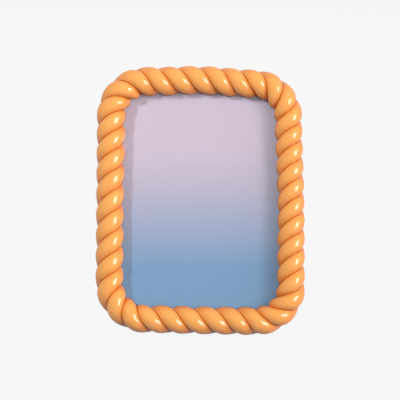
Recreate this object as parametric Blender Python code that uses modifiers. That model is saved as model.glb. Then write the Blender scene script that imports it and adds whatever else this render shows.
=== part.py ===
"""Resin photo frame: a cast two-strand rope moulding round a glazed picture.

The back board is held by turn buttons and carries a pinned easel leg, which stands
the frame on a table, and a sawtooth hanger. Metres, +Z up, the picture faces -Y.

The pieces are built square to the frame: x runs across, y is the depth towards the
back, measured from the axis of the rope, and z runs up the frame. The empty
frame_axes then leans them back on the easel leg and settles them on the table.
"""

import math

import bmesh
import bpy
import numpy as np
from mathutils import Matrix

MM = 0.001

# Fits
GAP = 0.3 * MM  # between faces that touch on the real frame
REBATE_PLAY = 0.3 * MM  # round the edge of the glass
HOLE_PLAY = 0.3 * MM  # round a screw, rivet, nail or pin in its hole

# Sheets in the rebate, front to back
SHEET_WIDTH = 132.0 * MM
SHEET_HEIGHT = 182.0 * MM
SHEET_CORNER = 6.0 * MM
GLASS_THICKNESS = 2.0 * MM
PRINT_THICKNESS = 0.3 * MM
PRINT_INSET = 0.5 * MM
CARD_THICKNESS = 1.0 * MM
BOARD_THICKNESS = 3.0 * MM

# Rope section
ROPE_RADIUS = 11.1 * MM  # axis to the crown of a strand
GROOVE_DEPTH = 2.9 * MM
GROOVE_POWER = 2.2  # higher makes a narrower groove
BACK_GROOVE_SHARE = 0.4  # of the groove depth left at the flat back
BACK_SQUARENESS = 4.0  # superellipse power behind the axis
BACK_ROUNDING = 1.7 * MM  # how far the round back reaches past the flat cut
GROOVE_FADE = math.radians(45.0)  # behind the axis, where the groove is at its back share
LEDGE_DEPTH = 1.5 * MM  # axis of the rope to the ledge that holds the glass

# Rope round the picture
LOBE_COUNT = 40  # even, so that each of the two strands meets its own end
LOBE_START = 0.21  # of a lobe, from the foot of the left side to the first groove
SIDE_COVER = 4.2 * MM  # how far the rope covers the edge of the glass at the sides
END_COVER = 6.2 * MM  # the same at the top and bottom
SIDE_WAVE_POWER = 2  # a bowed side follows a sine raised to this

# Corners of the rope's centreline, from bottom left clockwise: the hand-laid shift
# across and up from a true rectangle, and the run of the rounding along each side
CORNERS = (
    (-0.2 * MM, 1.8 * MM, 29.0 * MM),
    (1.9 * MM, 0.1 * MM, 28.7 * MM),
    (-2.9 * MM, -3.0 * MM, 26.6 * MM),
    (0.2 * MM, -1.1 * MM, 29.2 * MM),
)

# Stretches of the rope from the left side clockwise, side and corner by turns: the
# length of one lobe, and the girth against the nominal radius
STRETCHES = (
    (16.7 * MM, 1.00),
    (14.8 * MM, 1.05),
    (16.8 * MM, 1.02),
    (14.2 * MM, 1.01),
    (14.4 * MM, 0.97),
    (14.9 * MM, 1.03),
    (17.6 * MM, 1.00),
    (15.6 * MM, 1.01),
)
SIDE_BOWS = (0.2 * MM, 1.8 * MM, 1.0 * MM, 0.3 * MM)  # left, top, right, bottom

# Stance
LEAN = math.radians(12.0)  # back from upright
SETTLE = math.radians(1.0)  # roll that brings the lowest lobes level
FOOT_FLAT = 0.5 * MM  # ground off the lowest lobe

# Turn buttons and their screws
BUTTON_OFFSET = 6.0 * MM  # pivot outside the edge of the rebate
BUTTON_REACH = 15.0 * MM  # pivot to the tip over the board
BUTTON_HEEL = 5.0 * MM  # pivot to the other end
BUTTON_WIDTH = 9.0 * MM
BUTTON_THICKNESS = 1.0 * MM
SIDE_BUTTON_HEIGHT = 55.0 * MM  # above and below the middle
TOP_BUTTON_SPREAD = 36.0 * MM  # left and right of the middle
SCREW_RADIUS = 1.1 * MM
SCREW_DEPTH = 6.0 * MM  # in the resin
SCREW_HEAD_RADIUS = 2.6 * MM
SCREW_HEAD_HEIGHT = 1.5 * MM
RECESS_WIDTH = 0.7 * MM
RECESS_LENGTH = 2.8 * MM
RECESS_DEPTH = 0.8 * MM

# Easel hinge
HINGE_HEIGHT = 42.0 * MM  # above the middle of the board
HINGE_WIDTH = 30.0 * MM
LEAF_THICKNESS = 0.8 * MM
BOARD_LEAF_LENGTH = 16.0 * MM
LEG_LEAF_LENGTH = 18.0 * MM
LEAF_CORNER = 2.0 * MM
PIN_RADIUS = 0.8 * MM
PIN_HEAD_RADIUS = 1.4 * MM
PIN_HEAD_HEIGHT = 0.7 * MM
KNUCKLE_WALL = 0.95 * MM
MIDDLE_KNUCKLE = 14.4 * MM
STOP_REACH = 6.5 * MM
STOP_THICKNESS = 1.2 * MM
STOP_WIDTH = 9.0 * MM

# Easel leg
LEG_OPENING = math.radians(24.0)  # from the board to the stop
LEG_THICKNESS = 3.0 * MM
LEG_TOP_WIDTH = 32.0 * MM
LEG_FOOT_WIDTH = 46.0 * MM
LEG_CORNER = 4.0 * MM
LEG_TOP_GAP = 0.6 * MM  # from the knuckle
FOOT_ALLOWANCE = 12.0 * MM  # cut off where the leg meets the table

# Rivets of the hinge
RIVET_RADIUS = 1.0 * MM
RIVET_HEAD_RADIUS = 2.2 * MM
RIVET_HEAD_HEIGHT = 0.9 * MM
RIVET_INSET = 6.0 * MM  # from the ends of the knuckles
RIVET_SPREAD = HINGE_WIDTH / 2 - RIVET_INSET  # either side of the middle
BOARD_RIVET_RISE = 11.0 * MM
LEG_RIVET_DROP = 12.0 * MM

# Sawtooth hanger and its nails
HANGER_LENGTH = 44.0 * MM
HANGER_HEIGHT = 9.0 * MM
HANGER_THICKNESS = 0.8 * MM
HANGER_TAB = 8.0 * MM
HANGER_JOGGLE = 2.0 * MM
HANGER_RISE = 1.8 * MM
HANGER_EDGE = 6.0 * MM  # down from the top of the board
TOOTH_COUNT = 7
TOOTH_DEPTH = 1.6 * MM
TOOTH_PITCH = 3.0 * MM
NAIL_RADIUS = 0.6 * MM
NAIL_HEAD_RADIUS = 1.7 * MM
NAIL_HEAD_HEIGHT = 0.8 * MM
NAIL_DEPTH = 2.2 * MM

# Heads of rivets, screws and nails
DOME_EDGE = 0.35  # height of the rim, as a share of the head

# Depths, front to back, from the axis of the rope
GLASS_FRONT = LEDGE_DEPTH + GAP
PRINT_FRONT = GLASS_FRONT + GLASS_THICKNESS + GAP
CARD_FRONT = PRINT_FRONT + PRINT_THICKNESS + GAP
BOARD_FRONT = CARD_FRONT + CARD_THICKNESS + GAP
FRAME_BACK = BOARD_FRONT + BOARD_THICKNESS
HARDWARE_DEPTH = FRAME_BACK + GAP  # underside of what is fixed on the back
KNUCKLE_RADIUS = PIN_RADIUS + HOLE_PLAY + KNUCKLE_WALL
HINGE_DEPTH = HARDWARE_DEPTH + KNUCKLE_RADIUS
REBATE_WIDTH = SHEET_WIDTH + 2 * REBATE_PLAY
REBATE_HEIGHT = SHEET_HEIGHT + 2 * REBATE_PLAY

# Fineness of the meshes
PATH_STEPS = 120
LOBE_STEPS = (0.0, 0.12, 0.35, 0.65, 0.88)  # the crease of the groove is at 0
SECTION_STEPS = 20
ROUND_STEPS = 20
CORNER_STEPS = 5
END_STEPS = 9  # points round each end of a turn button
DOME_STEPS = 4
BEZIER_ARC = 0.5523  # handle length of a quarter circle
OVERRUN = 1.0 * MM  # drills and saws pass a face by this
LARGE = 500.0 * MM  # cutters reach well past the frame


def clear_scene():
    for old in list(bpy.data.objects):
        bpy.data.objects.remove(old, do_unlink=True)


def new_collection(name):
    collection = bpy.data.collections.new(name)
    bpy.context.scene.collection.children.link(collection)
    return collection


def new_material(name, colour, roughness, metallic=0.0, transmission=0.0):
    material = bpy.data.materials.new(name)
    material.use_nodes = True
    shader = material.node_tree.nodes["Principled BSDF"]
    shader.inputs["Base Color"].default_value = (*colour, 1.0)
    shader.inputs["Roughness"].default_value = roughness
    shader.inputs["Metallic"].default_value = metallic
    shader.inputs["Transmission Weight"].default_value = transmission
    material.diffuse_color = (*colour, 1.0)
    return material


def new_mesh(name, bm):
    bmesh.ops.recalc_face_normals(bm, faces=bm.faces)
    mesh = bpy.data.meshes.new(name)
    bm.to_mesh(mesh)
    bm.free()
    return mesh


def smooth(mesh, degrees=35.0):
    mesh.shade_smooth()
    mesh.set_sharp_from_angle(angle=math.radians(degrees))


def add_piece(name, mesh, material, parent, location=(0, 0, 0), rotation=(0, 0, 0)):
    piece = bpy.data.objects.new(name, mesh)
    if not mesh.materials:
        mesh.materials.append(material)
    piece.location = location
    piece.rotation_euler = rotation
    piece.parent = parent
    pieces.objects.link(piece)
    return piece


def add_helper(name, mesh, parent, location=(0, 0, 0), rotation=(0, 0, 0)):
    helper = bpy.data.objects.new(name, mesh)
    helper.location = location
    helper.rotation_euler = rotation
    helper.parent = parent
    helper.hide_render = True
    helper.display_type = "WIRE"
    cutters.objects.link(helper)
    return helper


def add_empty(name, parent, location=(0, 0, 0), rotation=(0, 0, 0)):
    empty = bpy.data.objects.new(name, None)
    empty.empty_display_size = 20 * MM
    empty.location = location
    empty.rotation_euler = rotation
    empty.parent = parent
    pieces.objects.link(empty)
    return empty


def boolean(piece, helper, operation="DIFFERENCE"):
    modifier = piece.modifiers.new(helper.name, "BOOLEAN")
    modifier.operation = operation
    modifier.object = helper


def box_mesh(name, x_span, y_span, z_span):
    """A box between the given lowest and highest x, y and z."""
    spans = np.array((x_span, y_span, z_span))
    bm = bmesh.new()
    bmesh.ops.create_cube(bm, size=1.0)
    bmesh.ops.scale(bm, vec=spans[:, 1] - spans[:, 0], verts=bm.verts)
    bmesh.ops.translate(bm, vec=spans.mean(axis=1), verts=bm.verts)
    return new_mesh(name, bm)


def plate_mesh(name, top_width, foot_width, z_span, y_span, corner, rounded="both"):
    """A flat plate standing in x and z, with its thickness along y.

    Its width runs from foot_width at the lower z to top_width at the upper z. The
    corners in the plane of the plate are rounded at both ends, or at one.
    """
    bm = bmesh.new()
    bmesh.ops.create_cube(bm, size=1.0)
    for vertex in bm.verts:
        upper = vertex.co.z > 0
        vertex.co.x *= top_width if upper else foot_width
        vertex.co.y = y_span[1] if vertex.co.y > 0 else y_span[0]
        vertex.co.z = z_span[1] if upper else z_span[0]
    middle = sum(z_span) / 2
    across = []
    for edge in bm.edges:
        ends = edge.verts[0].co, edge.verts[1].co
        upper = ends[0].z > middle
        through = abs(ends[0].y - ends[1].y) > abs(ends[0].z - ends[1].z) + abs(ends[0].x - ends[1].x)
        if through and (rounded == "both" or upper == (rounded == "top")):
            across.append(edge)
    bmesh.ops.bevel(
        bm, geom=across, offset=corner, segments=CORNER_STEPS, profile=0.5, affect="EDGES"
    )
    return new_mesh(name, bm)


def cylinders_mesh(name, centres, radius, y_span):
    """Upright cylinders along y, one at each (x, z) centre."""
    bm = bmesh.new()
    for x, z in centres:
        placed = Matrix.Translation((x, sum(y_span) / 2, z)) @ Matrix.Rotation(math.pi / 2, 4, "X")
        bmesh.ops.create_cone(
            bm,
            cap_ends=True,
            segments=ROUND_STEPS,
            radius1=radius,
            radius2=radius,
            depth=y_span[1] - y_span[0],
            matrix=placed,
        )
    return new_mesh(name, bm)


def knuckle_mesh(name, radius, x_span):
    """A cylinder along x, centred on the hinge axis at the origin.

    Half a facet of turn lays a flat, not a corner, on the plate that it joins.
    """
    half_facet = Matrix.Rotation(math.pi / ROUND_STEPS, 4, "X")
    placed = Matrix.Translation((sum(x_span) / 2, 0, 0)) @ half_facet
    placed = placed @ Matrix.Rotation(math.pi / 2, 4, "Y")
    bm = bmesh.new()
    bmesh.ops.create_cone(
        bm,
        cap_ends=True,
        segments=ROUND_STEPS,
        radius1=radius,
        radius2=radius,
        depth=x_span[1] - x_span[0],
        matrix=placed,
    )
    return new_mesh(name, bm)


def turned_mesh(name, profile):
    """A solid turned about z from a half profile of (radius, z), top to bottom."""
    mesh = bpy.data.meshes.new(name)
    points = [(radius, 0.0, z) for radius, z in profile]
    mesh.from_pydata(points, [(i, i + 1) for i in range(len(points) - 1)], [])
    turning = bpy.data.objects.new(name, mesh)
    cutters.objects.link(turning)
    screw = turning.modifiers.new("turn", "SCREW")
    screw.steps = screw.render_steps = ROUND_STEPS
    screw.use_merge_vertices = True
    screw.merge_threshold = 0.01 * MM
    solid = baked_mesh(turning)
    bpy.data.objects.remove(turning, do_unlink=True)
    smooth(solid)
    return solid


def baked_mesh(source):
    """The mesh of an object with its modifiers applied."""
    bpy.context.view_layer.update()
    graph = bpy.context.evaluated_depsgraph_get()
    return bpy.data.meshes.new_from_object(source.evaluated_get(graph))


def domed_profile(head_radius, head_height, shank_radius, shank_length):
    """Half profile of a rivet, screw or nail: a low dome on a straight shank.

    The head stands on z = 0 and the shank runs down from it.
    """
    dome = [
        (
            head_radius * math.sin(angle),
            head_height * (DOME_EDGE + (1 - DOME_EDGE) * math.cos(angle)),
        )
        for angle in np.linspace(0, math.pi / 2, DOME_STEPS)
    ]
    return dome + [
        (head_radius, 0.0),
        (shank_radius, 0.0),
        (shank_radius, -shank_length),
        (0.0, -shank_length),
    ]


def corner_points():
    """The rope's centreline corners, in x and z, from bottom left clockwise."""
    half_width = SHEET_WIDTH / 2 - SIDE_COVER + ROPE_RADIUS
    half_height = SHEET_HEIGHT / 2 - END_COVER + ROPE_RADIUS
    signs = ((-1, -1), (-1, 1), (1, 1), (1, -1))
    return [
        np.array((sx * half_width + shift[0], sz * half_height + shift[1]))
        for (sx, sz), shift in zip(signs, CORNERS)
    ]


def rope_centreline():
    """Points round the rope, how far along it each lies, and the stretch middles."""
    corners = corner_points()
    runs = [corner[2] for corner in CORNERS]
    share = np.linspace(0, 1, PATH_STEPS, endpoint=False)[:, None]
    points = []
    for side in range(4):
        here, there, after = (corners[(side + step) % 4] for step in range(3))
        along = (there - here) / np.linalg.norm(there - here)
        turned = (after - there) / np.linalg.norm(after - there)
        outward = np.array((-along[1], along[0]))
        start = here + along * runs[side]
        end = there - along * runs[(side + 1) % 4]
        bow = SIDE_BOWS[side] * np.sin(math.pi * share) ** SIDE_WAVE_POWER
        points.append(start + (end - start) * share + outward * bow)
        run = runs[(side + 1) % 4]
        handles = (
            end,
            end + along * run * BEZIER_ARC,
            there + turned * run * (1 - BEZIER_ARC),
            there + turned * run,
        )
        weights = (
            (1 - share) ** 3,
            3 * (1 - share) ** 2 * share,
            3 * (1 - share) * share**2,
            share**3,
        )
        points.append(sum(weight * handle for weight, handle in zip(weights, handles)))
    points = np.concatenate(points)
    steps = np.linalg.norm(np.roll(points, -1, axis=0) - points, axis=1)
    travel = np.concatenate(((0.0,), np.cumsum(steps)))
    ends = travel[::PATH_STEPS]
    return points, travel, (ends[:-1] + ends[1:]) / 2


def strand_radius(angle, phase):
    """Distance from the rope's axis to its surface.

    The angle is 0 at the front, negative outwards and positive towards the picture.
    The phase runs over one lobe, from groove to groove. Behind the axis the section
    squares up, and the grooves grow shallow.
    """
    behind = np.clip(-np.cos(angle), 0.0, 1.0)
    depth = FRAME_BACK + BACK_ROUNDING
    across = np.where(behind > 0, np.abs(np.sin(angle)), 1.0) / ROPE_RADIUS
    crown = across**BACK_SQUARENESS + (behind / depth) ** BACK_SQUARENESS
    crown = crown ** (-1 / BACK_SQUARENESS)
    fade = 1 - (1 - BACK_GROOVE_SHARE) * np.clip(behind / math.sin(GROOVE_FADE), 0, 1)
    return crown - GROOVE_DEPTH * fade * np.abs(2 * phase - 1) ** GROOVE_POWER


def rope_mesh():
    """The whole rope, before it is cut.

    Each ring follows one line along the strands, so that the grooves are true
    creases. Going once round the section moves a line on by two lobes.
    """
    points, travel, middles = rope_centreline()
    length = travel[-1]
    along = travel[:-1]
    tangent = np.roll(points, -1, axis=0) - np.roll(points, 1, axis=0)
    tangent /= np.linalg.norm(tangent, axis=1)[:, None]
    outward = np.stack((-tangent[:, 1], tangent[:, 0]), axis=1)
    pitches, girths = np.array(STRETCHES).T
    density = np.interp(along, middles, 1 / pitches, period=length)
    lobes = np.concatenate(((0.0,), np.cumsum(density * np.diff(travel))))
    lobes *= LOBE_COUNT / lobes[-1]

    angles = np.radians(-270 + 360 * np.arange(SECTION_STEPS) / SECTION_STEPS)
    rings = (np.arange(LOBE_COUNT)[:, None] + np.array(LOBE_STEPS)).ravel()
    line, angle = np.meshgrid(rings, angles, indexing="ij")
    lobe = np.mod(line + angle / math.pi + 0.5 - LOBE_START, LOBE_COUNT)
    reach = np.interp(lobe, lobes, travel)
    girth = np.interp(reach, middles, girths, period=length)
    radius = girth * strand_radius(angle, line % 1)
    centre = [np.interp(reach, along, points[:, axis], period=length) for axis in range(2)]
    normal = [np.interp(reach, along, outward[:, axis], period=length) for axis in range(2)]
    x = centre[0] - normal[0] * radius * np.sin(angle)
    y = -radius * np.cos(angle)
    z = centre[1] - normal[1] * radius * np.sin(angle)

    bm = bmesh.new()
    grid = [[bm.verts.new(corner) for corner in zip(*ring)] for ring in zip(x, y, z)]
    count = len(grid)
    wrap = 2 * len(LOBE_STEPS)
    for ring in range(count):
        following = (ring + 1) % count
        for step in range(SECTION_STEPS):
            last = step == SECTION_STEPS - 1
            near = grid[(ring + wrap) % count][0] if last else grid[ring][step + 1]
            far = grid[(following + wrap) % count][0] if last else grid[following][step + 1]
            bm.faces.new((grid[ring][step], near, far, grid[following][step]))
    mesh = new_mesh("rope_frame", bm)
    smooth(mesh, 40.0)
    return mesh


def button_places():
    """Pivot (x, z) of each turn button, and the turn about y that aims it inwards."""
    side = REBATE_WIDTH / 2 + BUTTON_OFFSET
    top = REBATE_HEIGHT / 2 + BUTTON_OFFSET
    rise = SIDE_BUTTON_HEIGHT
    spread = TOP_BUTTON_SPREAD
    return {
        "left_lower": ((-side, -rise), 0.0),
        "left_upper": ((-side, rise), 0.0),
        "right_lower": ((side, -rise), math.pi),
        "right_upper": ((side, rise), math.pi),
        "top_left": ((-spread, top), math.pi / 2),
        "top_right": ((spread, top), math.pi / 2),
    }


def make_rope_frame():
    frame = add_piece("rope_frame", rope_mesh(), resin, frame_axes)
    back = box_mesh("back_cut", (-LARGE, LARGE), (FRAME_BACK, LARGE), (-LARGE, LARGE))
    boolean(frame, add_helper("back_cut", back, frame_axes))
    rebate = plate_mesh(
        "rebate_cut",
        REBATE_WIDTH,
        REBATE_WIDTH,
        (-REBATE_HEIGHT / 2, REBATE_HEIGHT / 2),
        (LEDGE_DEPTH, LARGE),
        SHEET_CORNER + REBATE_PLAY,
    )
    boolean(frame, add_helper("rebate_cut", rebate, frame_axes))
    pilots = cylinders_mesh(
        "screw_pilots",
        [place for place, _ in button_places().values()],
        SCREW_RADIUS + HOLE_PLAY,
        (FRAME_BACK - SCREW_DEPTH - HOLE_PLAY, FRAME_BACK + OVERRUN),
    )
    boolean(frame, add_helper("screw_pilots", pilots, frame_axes))
    boolean(frame, floor_cut)
    return frame


def make_sheet(name, front, thickness, material, inset=0.0):
    """A sheet that fills the rebate, less an inset at each edge."""
    width = SHEET_WIDTH - 2 * inset
    height = SHEET_HEIGHT - 2 * inset
    mesh = plate_mesh(
        name,
        width,
        width,
        (-height / 2, height / 2),
        (front, front + thickness),
        SHEET_CORNER - inset,
    )
    return add_piece(name, mesh, material, frame_axes)


def hanger_tabs():
    """Centres (x, z) of the two nail holes of the sawtooth hanger."""
    x = HANGER_LENGTH / 2 - HANGER_TAB / 2
    z = SHEET_HEIGHT / 2 - HANGER_EDGE - HANGER_HEIGHT / 2
    return [(-x, z), (x, z)]


def make_back_board():
    board = make_sheet("back_board", BOARD_FRONT, BOARD_THICKNESS, fibreboard)
    rivets = cylinders_mesh(
        "board_rivet_holes",
        [(side * RIVET_SPREAD, HINGE_HEIGHT + BOARD_RIVET_RISE) for side in (-1, 1)],
        RIVET_RADIUS + HOLE_PLAY,
        (BOARD_FRONT - OVERRUN, FRAME_BACK + OVERRUN),
    )
    boolean(board, add_helper("board_rivet_holes", rivets, frame_axes))
    nails = cylinders_mesh(
        "board_nail_holes",
        hanger_tabs(),
        NAIL_RADIUS + HOLE_PLAY,
        (FRAME_BACK - NAIL_DEPTH - HOLE_PLAY, FRAME_BACK + OVERRUN),
    )
    boolean(board, add_helper("board_nail_holes", nails, frame_axes))
    return board


def make_turn_buttons():
    """Flat tabs that swing over the edge of the board, each on its own screw."""
    bm = bmesh.new()
    half = BUTTON_WIDTH / 2
    angles = np.linspace(-math.pi / 2, math.pi / 2, END_STEPS)
    outline = [(BUTTON_REACH - half + half * math.cos(a), half * math.sin(a)) for a in angles]
    heel = BUTTON_HEEL - half
    outline += [(-heel - half * math.cos(a), -half * math.sin(a)) for a in angles]
    face = bm.faces.new([bm.verts.new((x, 0, z)) for x, z in outline])
    body = bmesh.ops.extrude_face_region(bm, geom=[face])["geom"]
    raised = [item for item in body if isinstance(item, bmesh.types.BMVert)]
    bmesh.ops.translate(bm, vec=(0, BUTTON_THICKNESS, 0), verts=raised)
    blank = new_mesh("turn_button", bm)

    bored = bpy.data.objects.new("turn_button_blank", blank)
    cutters.objects.link(bored)
    hole = cylinders_mesh(
        "button_hole", [(0, 0)], SCREW_RADIUS + HOLE_PLAY, (-OVERRUN, BUTTON_THICKNESS + OVERRUN)
    )
    drill = add_helper("button_hole", hole, None)
    boolean(bored, drill)
    button = baked_mesh(bored)
    bpy.data.objects.remove(bored, do_unlink=True)
    bpy.data.objects.remove(drill, do_unlink=True)

    screw_profile = domed_profile(
        SCREW_HEAD_RADIUS,
        SCREW_HEAD_HEIGHT,
        SCREW_RADIUS,
        SCREW_DEPTH + BUTTON_THICKNESS + 2 * GAP,
    )
    plain = bpy.data.objects.new("screw_blank", turned_mesh("turn_button_screw", screw_profile))
    cutters.objects.link(plain)
    blades = []
    for turn in (0.0, math.pi / 2):
        blade = box_mesh(
            "recess_blade",
            (-RECESS_LENGTH / 2, RECESS_LENGTH / 2),
            (-RECESS_WIDTH / 2, RECESS_WIDTH / 2),
            (SCREW_HEAD_HEIGHT - RECESS_DEPTH, SCREW_HEAD_HEIGHT + OVERRUN),
        )
        blades.append(add_helper("recess_blade", blade, None, rotation=(0, 0, turn)))
        boolean(plain, blades[-1])
    screw = baked_mesh(plain)
    for helper in (plain, *blades):
        bpy.data.objects.remove(helper, do_unlink=True)

    for place, ((x, z), turn) in button_places().items():
        seat = (x, HARDWARE_DEPTH, z)
        add_piece("turn_button_" + place, button, plated_steel, frame_axes, seat, (0, turn, 0))
        head = (x, HARDWARE_DEPTH + BUTTON_THICKNESS + GAP, z)
        add_piece(
            "button_screw_" + place, screw, screw_steel, frame_axes, head, (-math.pi / 2, 0, 0)
        )


def make_leaf(name, parent, plate, knuckles, notch, rivet_z, plate_depth, stop=None):
    """A hinge leaf: a plate joined to its knuckles, with the bore and rivet holes cut.

    Everything is placed from the hinge axis. The notch clears the other leaf.
    """
    notch_span = (-KNUCKLE_RADIUS - GAP, KNUCKLE_RADIUS + GAP)
    leaf = add_piece(name, plate, plated_steel, parent)
    for number, span in enumerate(notch):
        clear = box_mesh(name + "_notch", span, (-LARGE, LARGE), notch_span)
        boolean(leaf, add_helper(f"{name}_notch_{number}", clear, parent))
    for number, span in enumerate(knuckles):
        tube = knuckle_mesh(name + "_knuckle", KNUCKLE_RADIUS, span)
        boolean(leaf, add_helper(f"{name}_knuckle_{number}", tube, parent), "UNION")
    if stop:
        boolean(leaf, stop, "UNION")
    bore_end = HINGE_WIDTH / 2 + OVERRUN
    bore = knuckle_mesh(name + "_bore", PIN_RADIUS + HOLE_PLAY, (-bore_end, bore_end))
    boolean(leaf, add_helper(name + "_bore", bore, parent))
    holes = cylinders_mesh(
        name + "_holes",
        [(side * RIVET_SPREAD, rivet_z) for side in (-1, 1)],
        RIVET_RADIUS + HOLE_PLAY,
        (plate_depth - OVERRUN, plate_depth + LEAF_THICKNESS + OVERRUN),
    )
    boolean(leaf, add_helper(name + "_holes", holes, parent))
    return leaf


def make_hinge():
    """Two leaves on a headed pin. The leg's leaf has the stop that limits its swing."""
    half = HINGE_WIDTH / 2
    middle = MIDDLE_KNUCKLE / 2
    board_plate = plate_mesh(
        "hinge_board_leaf",
        HINGE_WIDTH,
        HINGE_WIDTH,
        (0, BOARD_LEAF_LENGTH),
        (-KNUCKLE_RADIUS, -KNUCKLE_RADIUS + LEAF_THICKNESS),
        LEAF_CORNER,
        rounded="top",
    )
    make_leaf(
        "hinge_board_leaf",
        hinge_axes,
        board_plate,
        knuckles=[(-half, -middle - GAP), (middle + GAP, half)],
        notch=[(-middle - GAP, middle + GAP)],
        rivet_z=BOARD_RIVET_RISE,
        plate_depth=-KNUCKLE_RADIUS,
    )
    leg_plate = plate_mesh(
        "hinge_leg_leaf",
        HINGE_WIDTH,
        HINGE_WIDTH,
        (-LEG_LEAF_LENGTH, 0),
        (KNUCKLE_RADIUS - LEAF_THICKNESS, KNUCKLE_RADIUS),
        LEAF_CORNER,
        rounded="foot",
    )
    lug = box_mesh(
        "stop_lug",
        (-STOP_WIDTH / 2, STOP_WIDTH / 2),
        (-KNUCKLE_RADIUS + LEAF_THICKNESS + GAP, -KNUCKLE_RADIUS + LEAF_THICKNESS + GAP + STOP_THICKNESS),
        (0, STOP_REACH),
    )
    make_leaf(
        "hinge_leg_leaf",
        leg_axes,
        leg_plate,
        knuckles=[(-middle, middle)],
        notch=[(-half - OVERRUN, -middle), (middle, half + OVERRUN)],
        rivet_z=-LEG_RIVET_DROP,
        plate_depth=KNUCKLE_RADIUS - LEAF_THICKNESS,
        stop=add_helper("stop_lug", lug, hinge_axes),
    )
    end = half + GAP
    pin = turned_mesh(
        "hinge_pin",
        [
            (0, end + PIN_HEAD_HEIGHT),
            (PIN_HEAD_RADIUS, end + PIN_HEAD_HEIGHT),
            (PIN_HEAD_RADIUS, end),
            (PIN_RADIUS, end),
            (PIN_RADIUS, -end),
            (PIN_HEAD_RADIUS, -end),
            (PIN_HEAD_RADIUS, -end - PIN_HEAD_HEIGHT),
            (0, -end - PIN_HEAD_HEIGHT),
        ],
    )
    add_piece("hinge_pin", pin, pin_steel, hinge_axes, rotation=(0, math.pi / 2, 0))


def make_rivets():
    """Rivets that hold the board's leaf to the board and the leg's leaf to the leg."""
    backward = (-math.pi / 2, 0, 0)
    board_shank = BOARD_THICKNESS + LEAF_THICKNESS + GAP
    board_rivet = turned_mesh(
        "board_rivet",
        domed_profile(RIVET_HEAD_RADIUS, RIVET_HEAD_HEIGHT, RIVET_RADIUS, board_shank),
    )
    leg_shank = LEG_THICKNESS + LEAF_THICKNESS + GAP
    leg_rivet = turned_mesh(
        "leg_rivet",
        domed_profile(RIVET_HEAD_RADIUS, RIVET_HEAD_HEIGHT, RIVET_RADIUS, leg_shank),
    )
    for word, side in (("left", -1), ("right", 1)):
        seat = (side * RIVET_SPREAD, -KNUCKLE_RADIUS + LEAF_THICKNESS + GAP, BOARD_RIVET_RISE)
        add_piece("board_rivet_" + word, board_rivet, rivet_steel, hinge_axes, seat, backward)
        seat = (side * RIVET_SPREAD, KNUCKLE_RADIUS + GAP, -LEG_RIVET_DROP)
        add_piece("leg_rivet_" + word, leg_rivet, rivet_steel, leg_axes, seat, backward)


def make_easel_leg(axis_height):
    """The board strut that the frame leans on, cut level where it meets the table."""
    length = axis_height / math.cos(LEG_OPENING - LEAN) + FOOT_ALLOWANCE
    back = KNUCKLE_RADIUS - LEAF_THICKNESS - GAP
    mesh = plate_mesh(
        "easel_leg",
        LEG_TOP_WIDTH,
        LEG_FOOT_WIDTH,
        (-length, -KNUCKLE_RADIUS - LEG_TOP_GAP),
        (back - LEG_THICKNESS, back),
        LEG_CORNER,
        rounded="top",
    )
    leg = add_piece("easel_leg", mesh, fibreboard, leg_axes)
    holes = cylinders_mesh(
        "leg_rivet_holes",
        [(side * RIVET_SPREAD, -LEG_RIVET_DROP) for side in (-1, 1)],
        RIVET_RADIUS + HOLE_PLAY,
        (back - LEG_THICKNESS - OVERRUN, back + OVERRUN),
    )
    boolean(leg, add_helper("leg_rivet_holes", holes, leg_axes))
    boolean(leg, floor_cut)
    return leg


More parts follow.
